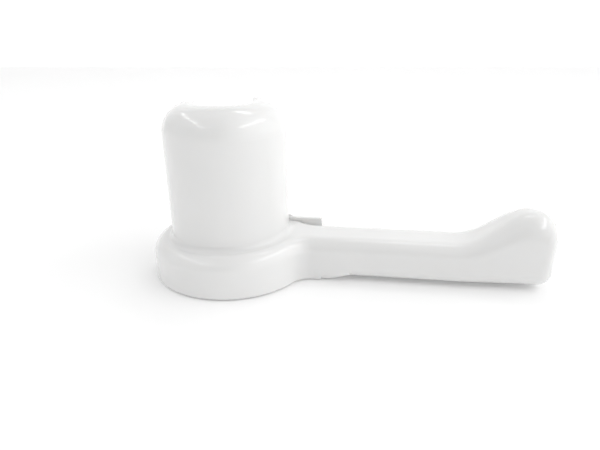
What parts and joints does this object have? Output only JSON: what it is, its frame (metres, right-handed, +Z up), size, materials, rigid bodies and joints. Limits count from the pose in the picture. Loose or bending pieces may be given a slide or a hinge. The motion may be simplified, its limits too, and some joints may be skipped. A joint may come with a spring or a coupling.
{
  "type": "capsule filler",
  "caption": "Hand-held capsule filler: a round post with a funnel mouth and capsule seat on a flanged base, a long handle with an upturned thumb rest, and a lever ejector.",
  "frame": {"origin": "on the post's axis, in the plane of the base pad's underside that the tool stands on", "axes": "+Z up the post, +X along the handle towards the thumb rest, +Y towards the ejector's thumb tab"},
  "size_m": [0.1053, 0.0424, 0.046],
  "materials": {
    "white_body": "glossy moulded white",
    "white_lever": "glossy moulded white",
    "white_insert": "satin moulded natural white",
    "white_cover": "satin moulded white",
    "seal_rubber": "translucent silicone",
    "pad_rubber": "soft grey silicone",
    "bush_brass": "turned",
    "pin_steel": "turned stainless",
    "spring_steel": "drawn wire",
    "screw_steel": "stainless"
  },
  "bodies": {
    "filler_body": {"main_body": "white_body", "seat_sleeve": "white_insert", "sleeve_o_ring": "seal_rubber", "guide_bush": "bush_brass", "pivot_pin": "pin_steel", "base_cover": "white_cover", "base_pad": "pad_rubber", "cover_screws": "screw_steel", "handle_cover": "white_cover", "handle_screws": "screw_steel", "return_spring": "spring_steel"},
    "lever": {"ejector_lever": "white_lever"},
    "plunger": {"ejector_plunger": "pin_steel", "plunger_tip_pad": "seal_rubber", "plunger_seal": "seal_rubber", "spring_seat": "pin_steel", "retaining_clip": "spring_steel"}
  },
  "joints": [
    {"name": "lever_pivot", "type": "hinge", "parent": "filler_body", "child": "lever", "pos_m": [0.0125, 0, 0.0056], "axis": [0, 1, 0], "range_deg": [0, 20], "stiffness_Nm_per_rad": 0.025, "springref_deg": -1.15},
    {"name": "plunger_slide", "type": "slide", "parent": "filler_body", "child": "plunger", "axis": [0, 0, 1], "range_m": [0, 0.0043], "deforming": ["return_spring"]}
  ],
  "couplings": [
    {"joint": "lever_pivot", "follows": "plunger_slide", "rad_per_m": 81}
  ]
}
